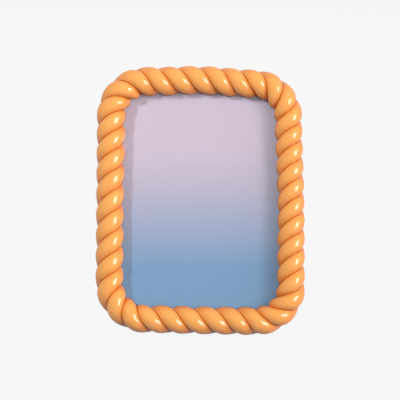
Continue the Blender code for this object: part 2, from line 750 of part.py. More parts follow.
def make_hanger():
    """A sawtooth hanger: a bridged strip nailed at both ends, with teeth below."""
    half = HANGER_LENGTH / 2
    tab = half - HANGER_TAB
    low = HARDWARE_DEPTH
    high = HARDWARE_DEPTH + HANGER_RISE
    line = [
        (-half, low),
        (-tab, low),
        (-tab + HANGER_JOGGLE, high),
        (tab - HANGER_JOGGLE, high),
        (tab, low),
        (half, low),
    ]
    top = SHEET_HEIGHT / 2 - HANGER_EDGE
    bm = bmesh.new()
    edges = [[bm.verts.new((x, y, z)) for x, y in line] for z in (top - HANGER_HEIGHT, top)]
    for left in range(len(line) - 1):
        bm.faces.new((edges[0][left], edges[0][left + 1], edges[1][left + 1], edges[1][left]))
    mesh = new_mesh("sawtooth_hanger", bm)
    if mesh.polygons[0].normal.y > 0:
        mesh.flip_normals()
    hanger = add_piece("sawtooth_hanger", mesh, plated_steel, frame_axes)
    wall = hanger.modifiers.new("wall", "SOLIDIFY")
    wall.thickness = HANGER_THICKNESS
    wall.offset = -1.0
    wall.use_even_offset = True

    width = TOOTH_COUNT * TOOTH_PITCH
    foot = top - HANGER_HEIGHT
    teeth = [(-width / 2, foot - TOOTH_DEPTH)]
    for tooth in range(TOOTH_COUNT):
        start = -width / 2 + tooth * TOOTH_PITCH
        teeth += [(start, foot - TOOTH_DEPTH / 4), (start + TOOTH_PITCH / 2, foot + TOOTH_DEPTH)]
    teeth += [(width / 2, foot - TOOTH_DEPTH / 4), (width / 2, foot - TOOTH_DEPTH)]
    bm = bmesh.new()
    face = bm.faces.new([bm.verts.new((x, low, z)) for x, z in teeth])
    body = bmesh.ops.extrude_face_region(bm, geom=[face])["geom"]
    moved = [item for item in body if isinstance(item, bmesh.types.BMVert)]
    bmesh.ops.translate(bm, vec=(0, HANGER_RISE + HANGER_THICKNESS + OVERRUN, 0), verts=moved)
    boolean(hanger, add_helper("hanger_teeth", new_mesh("hanger_teeth", bm), frame_axes))
    holes = cylinders_mesh(
        "hanger_nail_holes",
        hanger_tabs(),
        NAIL_RADIUS + HOLE_PLAY,
        (low - OVERRUN, low + HANGER_THICKNESS + OVERRUN),
    )
    boolean(hanger, add_helper("hanger_nail_holes", holes, frame_axes))

    shank = NAIL_DEPTH + HANGER_THICKNESS + 2 * GAP
    nail = turned_mesh(
        "hanger_nail", domed_profile(NAIL_HEAD_RADIUS, NAIL_HEAD_HEIGHT, NAIL_RADIUS, shank)
    )
    for word, (x, z) in zip(("left", "right"), hanger_tabs()):
        head = (x, low + HANGER_THICKNESS + GAP, z)
        add_piece("hanger_nail_" + word, nail, nail_steel, frame_axes, head, (-math.pi / 2, 0, 0))


def world_bounds():
    """Lowest and highest corner of all the pieces."""
    bpy.context.view_layer.update()
    graph = bpy.context.evaluated_depsgraph_get()
    corners = []
    for piece in pieces.objects:
        if piece.type == "MESH":
            solid = piece.evaluated_get(graph)
            mesh = solid.to_mesh()
            corners += [solid.matrix_world @ vertex.co for vertex in mesh.vertices]
            solid.to_mesh_clear()
    corners = np.array(corners)
    return corners.min(axis=0), corners.max(axis=0)


clear_scene()
pieces = new_collection("resin_photo_frame")
cutters = new_collection("cutters")

resin = new_material("orange cast resin", (0.88, 0.36, 0.09), 0.25)
clear_glass = new_material("picture glass", (0.95, 0.97, 0.96), 0.02, transmission=1.0)
printed_paper = new_material("printed paper", (0.48, 0.50, 0.65), 0.5)
grey_card = new_material("grey card", (0.42, 0.40, 0.37), 0.9)
fibreboard = new_material("fibreboard", (0.42, 0.27, 0.15), 0.75)
plated_steel = new_material("nickel plated steel", (0.62, 0.61, 0.58), 0.3, metallic=1.0)
screw_steel = new_material("zinc plated screws", (0.66, 0.66, 0.66), 0.35, metallic=1.0)
rivet_steel = new_material("steel rivets", (0.60, 0.59, 0.57), 0.35, metallic=1.0)
pin_steel = new_material("bright steel pin", (0.64, 0.64, 0.63), 0.25, metallic=1.0)
nail_steel = new_material("steel nails", (0.58, 0.57, 0.55), 0.35, metallic=1.0)

floor_cut = add_helper(
    "floor_cut", box_mesh("floor_cut", (-LARGE, LARGE), (-LARGE, LARGE), (-LARGE, 0)), None
)

# The frame leans back, and rolls a little onto its lowest lobes
stance = Matrix.Rotation(-LEAN, 4, "X") @ Matrix.Rotation(-SETTLE, 4, "Y")
frame_axes = add_empty("frame_axes", None, rotation=stance.to_euler())
uncut = rope_mesh()
lowest = min((stance @ vertex.co).z for vertex in uncut.vertices)
bpy.data.meshes.remove(uncut)
frame_axes.location.z = -lowest - FOOT_FLAT

hinge_axes = add_empty("hinge_axes", frame_axes, location=(0, HINGE_DEPTH, HINGE_HEIGHT))
leg_axes = add_empty("leg_axes", hinge_axes, rotation=(LEG_OPENING, 0, 0))
bpy.context.view_layer.update()

make_rope_frame()
make_sheet("glass_pane", GLASS_FRONT, GLASS_THICKNESS, clear_glass)
make_sheet("photo_print", PRINT_FRONT, PRINT_THICKNESS, printed_paper, PRINT_INSET)
make_sheet("pressure_card", CARD_FRONT, CARD_THICKNESS, grey_card)
make_back_board()
make_turn_buttons()
make_hinge()
make_rivets()
make_easel_leg(hinge_axes.matrix_world.translation.z)
make_hanger()

# The origin is at the middle of the footprint
low_corner, high_corner = world_bounds()
frame_axes.location.x -= (low_corner[0] + high_corner[0]) / 2
frame_axes.location.y -= (low_corner[1] + high_corner[1]) / 2
bpy.context.view_layer.update()
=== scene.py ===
"""Resin photo frame: finishes, fine shapes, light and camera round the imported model.

The sections follow the frame as it is put together, front to back. Metres, +Z up.
"""

import math

import bpy
import numpy as np
from mathutils import Matrix, Vector


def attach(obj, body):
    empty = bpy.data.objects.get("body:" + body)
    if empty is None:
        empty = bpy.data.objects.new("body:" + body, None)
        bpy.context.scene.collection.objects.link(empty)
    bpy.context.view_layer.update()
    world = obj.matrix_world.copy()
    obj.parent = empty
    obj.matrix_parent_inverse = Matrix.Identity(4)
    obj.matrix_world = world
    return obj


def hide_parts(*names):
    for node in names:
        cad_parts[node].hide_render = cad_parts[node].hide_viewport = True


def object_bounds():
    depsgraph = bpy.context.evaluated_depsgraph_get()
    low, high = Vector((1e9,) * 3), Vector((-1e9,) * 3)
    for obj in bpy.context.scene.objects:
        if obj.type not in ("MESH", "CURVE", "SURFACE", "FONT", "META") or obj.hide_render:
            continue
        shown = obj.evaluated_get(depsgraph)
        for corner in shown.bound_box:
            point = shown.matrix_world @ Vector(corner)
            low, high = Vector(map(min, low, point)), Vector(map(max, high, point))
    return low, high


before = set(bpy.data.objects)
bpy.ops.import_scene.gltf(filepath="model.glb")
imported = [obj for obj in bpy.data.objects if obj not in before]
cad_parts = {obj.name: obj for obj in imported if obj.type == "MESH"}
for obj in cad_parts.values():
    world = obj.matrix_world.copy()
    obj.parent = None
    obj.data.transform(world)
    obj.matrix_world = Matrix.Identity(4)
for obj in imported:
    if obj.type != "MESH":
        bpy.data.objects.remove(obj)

packed_box = [list(corner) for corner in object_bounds()]


# The rope moulding
# One casting in orange polyester resin, poured in a rubber mould taken from a rope that
# was modelled by hand, then given a clear gloss coat. The back is ground flat.

MM = 0.001
LEAN = math.radians(12.0)
SETTLE = math.radians(1.0)  # turn in its own plane, as it settles on uneven lobes
GAP = 0.3 * MM  # between pieces that are fitted together, as in the solids
GLASS_SEAT = 1.8 * MM  # axis of the rope to the front of the glass
FRAME_BACK = 9.0 * MM  # axis of the rope to the flat back
PANE_WIDTH = 132.0 * MM
PANE_HEIGHT = 182.0 * MM
REBATE_CORNER = 6.3 * MM
LEDGE_DEPTH = 1.5 * MM  # axis of the rope to the ledge that the glass lies on

ROPE_RADIUS = 11.0 * MM
CROWN_RADIUS = 11.1 * MM  # of the solid model, which the centreline is laid out with
GROOVE_DEPTH = 3.2 * MM
GROOVE_POWER = 2.5  # the higher, the narrower the creases
BACK_GROOVE_SHARE = 0.4  # depth of the creases behind, against that in front
BACK_SQUARENESS = 4.0  # 2 for a round back, more for a boxy one
BACK_ROUNDING = 1.7 * MM  # what grinding takes off the back
GROOVE_FADE = math.radians(45.0)  # turn past the sides that makes the creases shallow
SIDE_COVER = 4.2 * MM  # how far the rope covers the glass at left and right
END_COVER = 6.2 * MM  # how far it does at head and foot
LOBE_COUNT = 40
LOBE_START = 0.21  # shift of all lobes along the rope, in lobes
# Corners from the lower left clockwise: shift across and up, and reach of the turn
CORNERS = (
    (-0.2 * MM, 1.8 * MM, 29.0 * MM),
    (1.9 * MM, 0.1 * MM, 28.7 * MM),
    (-2.9 * MM, -3.0 * MM, 26.6 * MM),
    (0.2 * MM, -1.1 * MM, 29.2 * MM),
)
# Stretches from the left side clockwise: length of a lobe, girth, how far the crown lies
# outside the middle, and how far the lobes swing ahead on the front, in lobes
STRETCHES = (
    (16.7 * MM, 1.00, 0.0 * MM, 0.085),
    (14.8 * MM, 1.05, 0.4 * MM, 0.03),
    (16.8 * MM, 1.02, 1.2 * MM, -0.03),
    (14.2 * MM, 1.01, 0.6 * MM, -0.08),
    (14.4 * MM, 0.97, 0.4 * MM, -0.14),
    (14.9 * MM, 1.03, 0.0 * MM, -0.05),
    (17.6 * MM, 1.00, 0.0 * MM, 0.03),
    (15.6 * MM, 1.01, 0.0 * MM, 0.055),
)
SIDE_BOWS = (0.2 * MM, 1.8 * MM, 1.0 * MM, 0.3 * MM)  # outwards, from the left clockwise
BEZIER_ARC = 0.5523  # handle of a quarter circle, in radii
PATH_STEPS = 400  # along each side and each corner
LOBE_RINGS = 24
SECTION_STEPS = 88
RING_CROWDING = 0.8  # of the rings towards the creases, 0 for even steps
FRONT_CROWDING = 0.5  # of a section's points towards the front
SWING_POWER = 1.5  # the higher, the more the swing keeps to the front
CREASE_ANGLE = math.radians(50)  # sharper edges than this stay sharp
THROUGH_SHARE = 0.9  # of its length along the depth, from which an edge runs through

# The glass is the same in both models, so the middle of the frame is found from it
stance = Matrix.Rotation(-LEAN, 4, "X") @ Matrix.Rotation(-SETTLE, 4, "Y")
upright = np.array([stance.inverted() @ v.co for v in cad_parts["glass_pane"].data.vertices])
pane_low, pane_high = upright.min(axis=0), upright.max(axis=0)
middle = Vector(
    (
        (pane_low[0] + pane_high[0]) / 2,
        pane_low[1] - GLASS_SEAT,
        (pane_low[2] + pane_high[2]) / 2,
    )
)
frame_axes = stance @ Matrix.Translation(middle)


def select_only(piece):
    """Selects one piece and makes it the active one."""
    bpy.ops.object.select_all(action="DESELECT")
    piece.select_set(True)
    bpy.context.view_layer.objects.active = piece


def rope_path():
    """Points round the rope's centreline, the travel to each, and the stretch middles."""
    half_width = PANE_WIDTH / 2 - SIDE_COVER + CROWN_RADIUS
    half_height = PANE_HEIGHT / 2 - END_COVER + CROWN_RADIUS
    signs = ((-1, -1), (-1, 1), (1, 1), (1, -1))
    corners = [
        np.array((sx * half_width + shift[0], sz * half_height + shift[1]))
        for (sx, sz), shift in zip(signs, CORNERS)
    ]
    share = np.linspace(0, 1, PATH_STEPS, endpoint=False)[:, None]
    points = []
    for side in range(4):
        here, there, after = (corners[(side + step) % 4] for step in range(3))
        along = (there - here) / np.linalg.norm(there - here)
        turned = (after - there) / np.linalg.norm(after - there)
        outward = np.array((-along[1], along[0]))
        run = CORNERS[(side + 1) % 4][2]
        start = here + along * CORNERS[side][2]
        end = there - along * run
        bow = SIDE_BOWS[side] * np.sin(math.pi * share) ** 2
        points.append(start + (end - start) * share + outward * bow)
        points.append(
            (1 - share) ** 3 * end
            + 3 * (1 - share) ** 2 * share * (end + along * run * BEZIER_ARC)
            + 3 * (1 - share) * share**2 * (there + turned * run * (1 - BEZIER_ARC))
            + share**3 * (there + turned * run)
        )
    points = np.concatenate(points)
    steps = np.linalg.norm(np.roll(points, -1, axis=0) - points, axis=1)
    travel = np.concatenate(((0.0,), np.cumsum(steps)))
    ends = travel[::PATH_STEPS]
    return points, travel, (ends[:-1] + ends[1:]) / 2


def strand_radius(angle, phase):
    """Distance from the rope's axis to its surface: round in front, boxy behind, creased."""
    behind = np.clip(-np.cos(angle), 0.0, 1.0)
    across = np.where(behind > 0, np.abs(np.sin(angle)), 1.0) / ROPE_RADIUS
    crown = across**BACK_SQUARENESS + (behind / (FRAME_BACK + BACK_ROUNDING)) ** BACK_SQUARENESS
    crown = crown ** (-1 / BACK_SQUARENESS)
    fade = 1 - (1 - BACK_GROOVE_SHARE) * np.clip(behind / math.sin(GROOVE_FADE), 0, 1)
    return crown - GROOVE_DEPTH * fade * np.abs(2 * phase - 1) ** GROOVE_POWER


def rope_surface():
    """The rope's grid, ring by ring: positions, nearness to a crease, and turn from the front."""
    points, travel, middles = rope_path()
    length = travel[-1]
    tangent = np.roll(points, -1, axis=0) - np.roll(points, 1, axis=0)
    tangent /= np.linalg.norm(tangent, axis=1)[:, None]
    outward = np.stack((-tangent[:, 1], tangent[:, 0]), axis=1)
    pitches, girths, crowns, swings = np.array(STRETCHES).T
    density = np.interp(travel[:-1], middles, 1 / pitches, period=length)
    lobes = np.concatenate(((0.0,), np.cumsum(density * np.diff(travel))))
    lobes *= LOBE_COUNT / lobes[-1]

    # The rings crowd towards the creases, and the section's points towards the front
    even = np.arange(LOBE_RINGS) / LOBE_RINGS
    steps = even - RING_CROWDING * np.sin(2 * math.pi * even) / (2 * math.pi)
    rings = (np.arange(LOBE_COUNT)[:, None] + steps).ravel()
    turn = np.arange(SECTION_STEPS) / SECTION_STEPS - 0.5
    angles = 2 * math.pi * turn - FRONT_CROWDING * np.sin(2 * math.pi * turn)
    line, angle = np.meshgrid(rings, angles, indexing="ij")
    lobe = np.mod(line + angle / math.pi + 0.5 - LOBE_START, LOBE_COUNT)
    front = np.clip(np.cos(angle), 0, 1)
    reach = np.interp(lobe, lobes, travel)
    swing = np.interp(reach, middles, swings, period=length)
    reach = np.interp(np.mod(lobe + swing * front**SWING_POWER, LOBE_COUNT), lobes, travel)
    girth = np.interp(reach, middles, girths, period=length)
    crown = np.interp(reach, middles, crowns, period=length)
    radius = girth * strand_radius(angle, line % 1)
    centre = [np.interp(reach, travel[:-1], points[:, k], period=length) for k in (0, 1)]
    normal = [np.interp(reach, travel[:-1], outward[:, k], period=length) for k in (0, 1)]
    outside = crown * front**2 - radius * np.sin(angle)
    x = centre[0] + normal[0] * outside
    y = -radius * np.cos(angle)
    z = centre[1] + normal[1] * outside
    groove = np.abs(2 * (line % 1) - 1)
    return np.stack((x, y, z), axis=-1).reshape(-1, 3), groove.ravel(), 1 - front.ravel()


def rope_mesh():
    """The whole rope as a closed mesh. Going once round it, a ring moves on by two lobes."""
    surface, groove, side = rope_surface()
    ring_count = LOBE_COUNT * LOBE_RINGS
    ring, step = np.meshgrid(np.arange(ring_count), np.arange(SECTION_STEPS), indexing="ij")

    def corner(ring, step):
        ring = ring + 2 * LOBE_RINGS * (step // SECTION_STEPS)
        return (ring % ring_count) * SECTION_STEPS + step % SECTION_STEPS

    faces = (
        corner(ring, step),
        corner(ring, step + 1),
        corner(ring + 1, step + 1),
        corner(ring + 1, step),
    )
    mesh = bpy.data.meshes.new("rope_moulding")
    mesh.from_pydata(surface.tolist(), [], np.stack(faces, axis=-1).reshape(-1, 4).tolist())
    for name, values in (("groove", groove), ("side", side)):
        layer = mesh.attributes.new(name, "FLOAT", "POINT")
        layer.data.foreach_set("value", values.astype(np.float32))
    return mesh


def cut_away(piece, tool, operation="DIFFERENCE"):
    """Takes the tool's volume from the piece, or adds it, and removes the tool."""
    select_only(piece)
    cut = piece.modifiers.new("cut", "BOOLEAN")
    cut.operation = operation
    cut.object = tool
    cut.solver = "MANIFOLD"
    bpy.ops.object.modifier_apply(modifier=cut.name)
    bpy.data.objects.remove(tool, do_unlink=True)


def add_block(low, high):
    """A box between two corners."""
    bpy.ops.object.select_all(action="DESELECT")
    centre = [(a + b) / 2 for a, b in zip(low, high)]
    bpy.ops.mesh.primitive_cube_add(size=1.0, location=centre)
    block = bpy.context.active_object
    block.scale = [b - a for a, b in zip(low, high)]
    bpy.ops.object.transform_apply(location=True, rotation=False, scale=True)
    return block


def add_rod(spot, radius, y_span, sides=40):
    """A cylinder through the depth of the frame, at a place across and up."""
    bpy.ops.object.select_all(action="DESELECT")
    bpy.ops.mesh.primitive_cylinder_add(
        vertices=sides,
        radius=radius,
        depth=y_span[1] - y_span[0],
        location=(spot[0], sum(y_span) / 2, spot[1]),
        rotation=(math.pi / 2, 0, 0),
    )
    bpy.ops.object.transform_apply(location=True, rotation=True, scale=False)
    return bpy.context.active_object


def round_corners(piece, radius, segments, where=lambda end: True):
    """Rounds the edges that run through the depth of a flat piece, at the given ends."""
    select_only(piece)
    bpy.ops.object.mode_set(mode="EDIT")
    bpy.ops.mesh.select_mode(type="EDGE")
    bpy.ops.mesh.select_all(action="DESELECT")
    bpy.ops.object.mode_set(mode="OBJECT")
    for edge in piece.data.edges:
        ends = [piece.data.vertices[index].co for index in edge.vertices]
        through = abs(ends[0].y - ends[1].y) > THROUGH_SHARE * (ends[0] - ends[1]).length
        edge.select = through and where(ends[0])
    bpy.ops.object.mode_set(mode="EDIT")
    bpy.ops.mesh.bevel(offset=radius, segments=segments, affect="EDGES")
    bpy.ops.object.mode_set(mode="OBJECT")


BUTTON_OFFSET = 6.0 * MM  # pivot of a turn button outside the rebate
SIDE_BUTTON_RISE = 55.0 * MM
TOP_BUTTON_SPREAD = 36.0 * MM
PILOT_RADIUS = 1.4 * MM
PILOT_DEPTH = 6.3 * MM
LARGE = 400.0 * MM  # past every side of the frame

pocket_half = PANE_WIDTH / 2 + GAP
pocket_rise = PANE_HEIGHT / 2 + GAP
button_aside = pocket_half + BUTTON_OFFSET
button_top = pocket_rise + BUTTON_OFFSET
button_places = {  # across, up, and the turn of the tip towards the board
    "left_lower": (-button_aside, -SIDE_BUTTON_RISE, 0.0),
    "left_upper": (-button_aside, SIDE_BUTTON_RISE, 0.0),
    "right_lower": (button_aside, -SIDE_BUTTON_RISE, math.pi),
    "right_upper": (button_aside, SIDE_BUTTON_RISE, math.pi),
    "top_left": (-TOP_BUTTON_SPREAD, button_top, math.pi / 2),
    "top_right": (TOP_BUTTON_SPREAD, button_top, math.pi / 2),
}

rope = bpy.data.objects.new("rope_moulding", rope_mesh())
bpy.context.scene.collection.objects.link(rope)
select_only(rope)
bpy.ops.object.mode_set(mode="EDIT")
bpy.ops.mesh.select_all(action="SELECT")
bpy.ops.mesh.normals_make_consistent(inside=False)
bpy.ops.object.mode_set(mode="OBJECT")
cut_away(rope, add_block((-LARGE, FRAME_BACK, -LARGE), (LARGE, LARGE, LARGE)))
pocket = add_block((-pocket_half, LEDGE_DEPTH, -pocket_rise), (pocket_half, LARGE, pocket_rise))
round_corners(pocket, REBATE_CORNER, segments=6)
cut_away(rope, pocket)
for x, z, _ in button_places.values():
    pilot = add_rod((x, z), PILOT_RADIUS, (FRAME_BACK - PILOT_DEPTH, LARGE), sides=20)
    cut_away(rope, pilot)
rope.data.transform(frame_axes)
cut_away(rope, add_block((-LARGE, -LARGE, -LARGE), (LARGE, LARGE, 0)))
box_low, box_high = (Vector(corner) for corner in packed_box)
for vertex in rope.data.vertices:  # crowns no higher than those of the solid
    vertex.co = [min(max(vertex.co[axis], box_low[axis]), box_high[axis]) for axis in range(3)]
select_only(rope)
bpy.ops.object.shade_smooth_by_angle(angle=CREASE_ANGLE)


def linear(code):
    """An sRGB hex colour as linear red, green, blue and alpha."""
    parts = [int(code[start : start + 2], 16) / 255 for start in (1, 3, 5)]
    lit = [part / 12.92 if part <= 0.04045 else ((part + 0.055) / 1.055) ** 2.4 for part in parts]
    return (*lit, 1.0)


def add_node(tree, kind, settings=None, links=None):
    """Adds a node, sets its sockets and properties, and links its inputs."""
    node = tree.nodes.new(kind)
    for name, value in (settings or {}).items():
        if isinstance(name, int) or name in node.inputs:
            node.inputs[name].default_value = value
        else:
            setattr(node, name, value)
    for name, source in (links or {}).items():
        tree.links.new(source, node.inputs[name])
    return node


def new_finish(name):
    """A new material with its node tree and its shader."""
    finish = bpy.data.materials.new(name)
    finish.use_nodes = True
    return finish, finish.node_tree, finish.node_tree.nodes["Principled BSDF"]


GROUND_MARGIN = 0.02 * MM  # in front of the flat back, what still counts as ground

# The pigment clouds a little in the casting, and the clear coat over it is wet and
# slightly uneven, so that small lamps break up at their rims
resin, tree, shader = new_finish("glossy_cast_polyester_resin")
place = add_node(tree, "ShaderNodeTexCoord")
cloud = add_node(
    tree,
    "ShaderNodeTexNoise",
    {"Scale": 1 / (14 * MM), "Detail": 3.0, "Roughness": 0.55},
    {"Vector": place.outputs["Object"]},
)
pigment = add_node(
    tree,
    "ShaderNodeMix",
    {"data_type": "RGBA", 6: linear("#EE9C4A"), 7: linear("#F3A553")},
    {0: cloud.outputs["Fac"]},
)
# Painted shade: the colour turns deeper and redder down the flanks and sides that turn away from
# the front, darker still at the outline, and dark brown in the creases, where shade falls
groove = add_node(tree, "ShaderNodeAttribute", {"attribute_name": "groove"})
side = add_node(tree, "ShaderNodeAttribute", {"attribute_name": "side"})
pigment_with_shade = pigment.outputs[2]
# Rows: mask, where the painted shade begins and where it is full, its share and its colour, for
# the creases, the turned-away sides, the outline and the crease bottoms
for where, shade_from, shade_full, share, code in (
    (groove, 0.4, 0.95, 0.42, "#E07C33"),
    (side, 0.1, 0.6, 0.4, "#E07534"),
    (side, 0.6, 1.0, 0.25, "#A84F18"),
    (groove, 0.92, 1.0, 0.85, "#9E3F10"),
):
    painted_shade_share = add_node(
        tree,
        "ShaderNodeMapRange",
        {"From Min": shade_from, "From Max": shade_full, "To Max": share},
        {"Value": where.outputs["Fac"]},
    )
    shaded_colour = add_node(
        tree,
        "ShaderNodeMix",
        {"data_type": "RGBA", 7: linear(code)},
        {0: painted_shade_share.outputs["Result"], 6: pigment_with_shade},
    )
    pigment_with_shade = shaded_colour.outputs[2]
# The back is ground flat on a belt, which leaves it matt, paler and finely scratched. The
# scratches are drawn coarser than real ones, so that they show
level = add_node(
    tree,
    "ShaderNodeMapping",
    {"vector_type": "TEXTURE", "Location": frame_axes.translation, "Rotation": stance.to_euler()},
    {"Vector": place.outputs["Object"]},
)
split = add_node(tree, "ShaderNodeSeparateXYZ", None, {0: level.outputs["Vector"]})
ground = add_node(
    tree,
    "ShaderNodeMath",
    {"operation": "GREATER_THAN", 1: FRAME_BACK - GROUND_MARGIN},
    {0: split.outputs["Y"]},
)
belt = add_node(
    tree, "ShaderNodeMapping", {"Scale": (0.05, 1.0, 1.0)}, {"Vector": level.outputs["Vector"]}
)
scratches = add_node(
    tree,
    "ShaderNodeTexNoise",
    {"Scale": 1 / (0.4 * MM), "Detail": 4.0, "Roughness": 0.7},
    {"Vector": belt.outputs["Vector"]},
)
dusty = add_node(
    tree,
    "ShaderNodeMix",
    {"data_type": "RGBA", 6: linear("#D98A48"), 7: linear("#F0B582")},
    {0: scratches.outputs["Fac"]},
)
coloured = add_node(
    tree,
    "ShaderNodeMix",
    {"data_type": "RGBA"},
    {0: ground.outputs["Value"], 6: pigment_with_shade, 7: dusty.outputs[2]},
)
tree.links.new(coloured.outputs[2], shader.inputs["Base Color"])
waves = add_node(
    tree,
    "ShaderNodeTexNoise",
    {"Scale": 1 / (5 * MM), "Detail": 2.0},
    {"Vector": place.outputs["Object"]},
)
uneven = add_node(
    tree,
    "ShaderNodeBump",
    {"Strength": 0.3, "Distance": 0.12 * MM},
    {"Height": waves.outputs["Fac"]},
)
tree.links.new(uneven.outputs["Normal"], shader.inputs["Normal"])
gloss = add_node(
    tree,
    "ShaderNodeMapRange",
    {"To Min": 0.06, "To Max": 0.1},
    {"Value": cloud.outputs["Fac"]},
)
# The gloss is softened and held back at grazing angles, where the pale studio would
# otherwise wash out the outline
turned_away = add_node(tree, "ShaderNodeLayerWeight", {"Blend": 0.5})
skim = add_node(
    tree,
    "ShaderNodeMapRange",
    {"From Min": 0.65, "From Max": 0.95, "To Max": 0.55},
    {"Value": turned_away.outputs["Facing"]},
)
glaze = add_node(
    tree,
    "ShaderNodeMath",
    {"operation": "MAXIMUM"},
    {0: gloss.outputs["Result"], 1: skim.outputs["Result"]},
)
held = add_node(
    tree,
    "ShaderNodeMapRange",
    {"From Min": 0.5, "From Max": 0.8, "To Min": 0.5, "To Max": 0.0},
    {"Value": turned_away.outputs["Facing"]},
)
tree.links.new(held.outputs["Result"], shader.inputs["Specular IOR Level"])
dull = add_node(
    tree,
    "ShaderNodeMix",
    {3: 0.75},
    {0: ground.outputs["Value"], 2: glaze.outputs["Value"]},
)
tree.links.new(dull.outputs[0], shader.inputs["Roughness"])
rope.data.materials.clear()
rope.data.materials.append(resin)
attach(rope, "frame")
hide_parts("rope_frame")


# The glass
# A pane of clear float glass, 2 mm thick, with seamed edges. It lies loose in the rebate,
# put in from behind against the ledge.

# Colourless and polished: it shows only as a thin reflection, and lets the light through
# to the print
glass, tree, shader = new_finish("clear_float_glass")
shader.inputs["Base Color"].default_value = linear("#FFFFFF")
shader.inputs["Roughness"].default_value = 0.0
shader.inputs["IOR"].default_value = 1.5
shader.inputs["Transmission Weight"].default_value = 1.0
ray = add_node(tree, "ShaderNodeLightPath")
clear = add_node(tree, "ShaderNodeBsdfTransparent")
passing = add_node(
    tree,
    "ShaderNodeMixShader",
    None,
    {0: ray.outputs["Is Shadow Ray"], 1: shader.outputs["BSDF"], 2: clear.outputs["BSDF"]},
)
tree.links.new(passing.outputs["Shader"], tree.nodes["Material Output"].inputs["Surface"])
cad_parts["glass_pane"].material_slots[0].material = glass


# The print
# Satin photo paper, trimmed to the size of the glass and laid loose behind it, with a
# plain gradient, lilac at the top and blue at the bottom.

PRINT_STOPS = (  # height over the middle, and colour
    (-54.0 * MM, "#5D81A3"),
    (-28.0 * MM, "#7D8BA7"),
    (10.0 * MM, "#A098AA"),
    (40.0 * MM, "#B0A1B0"),
)

# Pigment ink on resin-coated paper: even colour, a soft satin face and a fine tooth,
# which is drawn coarser than the real one
paper, tree, shader = new_finish("satin_photo_paper")
place = add_node(tree, "ShaderNodeTexCoord")
level = add_node(
    tree,
    "ShaderNodeMapping",
    {"vector_type": "TEXTURE", "Location": frame_axes.translation, "Rotation": stance.to_euler()},
    {"Vector": place.outputs["Object"]},
)
split = add_node(tree, "ShaderNodeSeparateXYZ", None, {0: level.outputs["Vector"]})
height = add_node(
    tree,
    "ShaderNodeMapRange",
    {"From Min": -PANE_HEIGHT / 2, "From Max": PANE_HEIGHT / 2},
    {"Value": split.outputs["Z"]},
)
ramp = add_node(tree, "ShaderNodeValToRGB", None, {"Fac": height.outputs["Result"]})
stops = ramp.color_ramp.elements
for index, (rise, code) in enumerate(PRINT_STOPS):
    share = rise / PANE_HEIGHT + 0.5
    stop = stops.new(share) if index > 1 else stops[index]
    stop.position = share
    stop.color = linear(code)
tree.links.new(ramp.outputs["Color"], shader.inputs["Base Color"])
tooth = add_node(
    tree,
    "ShaderNodeTexNoise",
    {"Scale": 1 / (0.5 * MM), "Detail": 2.0},
    {"Vector": place.outputs["Object"]},
)
grain = add_node(
    tree,
    "ShaderNodeBump",
    {"Strength": 0.06, "Distance": 0.005 * MM},
    {"Height": tooth.outputs["Fac"]},
)
tree.links.new(grain.outputs["Normal"], shader.inputs["Normal"])
shader.inputs["Roughness"].default_value = 0.45
shader.inputs["Specular IOR Level"].default_value = 0.15
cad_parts["photo_print"].material_slots[0].material = paper


# The pressure card
# Uncoated grey board, 1 mm thick and die cut to the rebate. It lies loose between print
# and back board, and presses the print to the glass.

# Grey pulp with darker specks of recycled fibre, quite matt
card, tree, shader = new_finish("recycled_grey_board")
place = add_node(tree, "ShaderNodeTexCoord")
specks = add_node(
    tree,
    "ShaderNodeTexNoise",
    {"Scale": 1 / (0.8 * MM), "Detail": 5.0, "Roughness": 0.7},
    {"Vector": place.outputs["Object"]},
)
pulp = add_node(tree, "ShaderNodeValToRGB", None, {"Fac": specks.outputs["Fac"]})
pulp.color_ramp.elements[0].position = 0.3
pulp.color_ramp.elements[0].color = linear("#8A8780")
pulp.color_ramp.elements[1].position = 0.7
pulp.color_ramp.elements[1].color = linear("#B3AFA7")
tree.links.new(pulp.outputs["Color"], shader.inputs["Base Color"])
shader.inputs["Roughness"].default_value = 0.9
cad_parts["pressure_card"].material_slots[0].material = card


# The back board
# Medium-density fibreboard, 3 mm, sawn to the rebate with rounded corners and sanded.
# It lies flush with the back of the moulding.

# Pressed wood fibre: short pale and dark flecks on warm brown, with a faint sanded sheen
fibreboard, tree, shader = new_finish("sanded_fibreboard")
place = add_node(tree, "ShaderNodeTexCoord")
laid = add_node(
    tree,
    "ShaderNodeMapping",
    {"vector_type": "TEXTURE", "Rotation": stance.to_euler(), "Scale": (1.0, 1.0, 2.2)},
    {"Vector": place.outputs["Object"]},
)
flecks = add_node(
    tree,
    "ShaderNodeTexNoise",
    {"Scale": 1 / (0.9 * MM), "Detail": 6.0, "Roughness": 0.72, "Distortion": 0.6},
    {"Vector": laid.outputs["Vector"]},
)
patches = add_node(
    tree,
    "ShaderNodeTexNoise",
    {"Scale": 1 / (26 * MM), "Detail": 2.0},
    {"Vector": place.outputs["Object"]},
)
fibres = add_node(tree, "ShaderNodeValToRGB", None, {"Fac": flecks.outputs["Fac"]})
fibres.color_ramp.elements[0].position = 0.28
fibres.color_ramp.elements[0].color = linear("#7C5735")
fibres.color_ramp.elements[1].position = 0.72
fibres.color_ramp.elements[1].color = linear("#C29A6B")
toned = add_node(
    tree,
    "ShaderNodeMix",
    {"data_type": "RGBA", "blend_type": "MULTIPLY", 0: 0.5},
    {6: fibres.outputs["Color"], 7: patches.outputs["Fac"]},
)
bright = add_node(
    tree,
    "ShaderNodeBrightContrast",
    {"Bright": 0.02},
    {"Color": toned.outputs[2]},
)
tree.links.new(bright.outputs["Color"], shader.inputs["Base Color"])
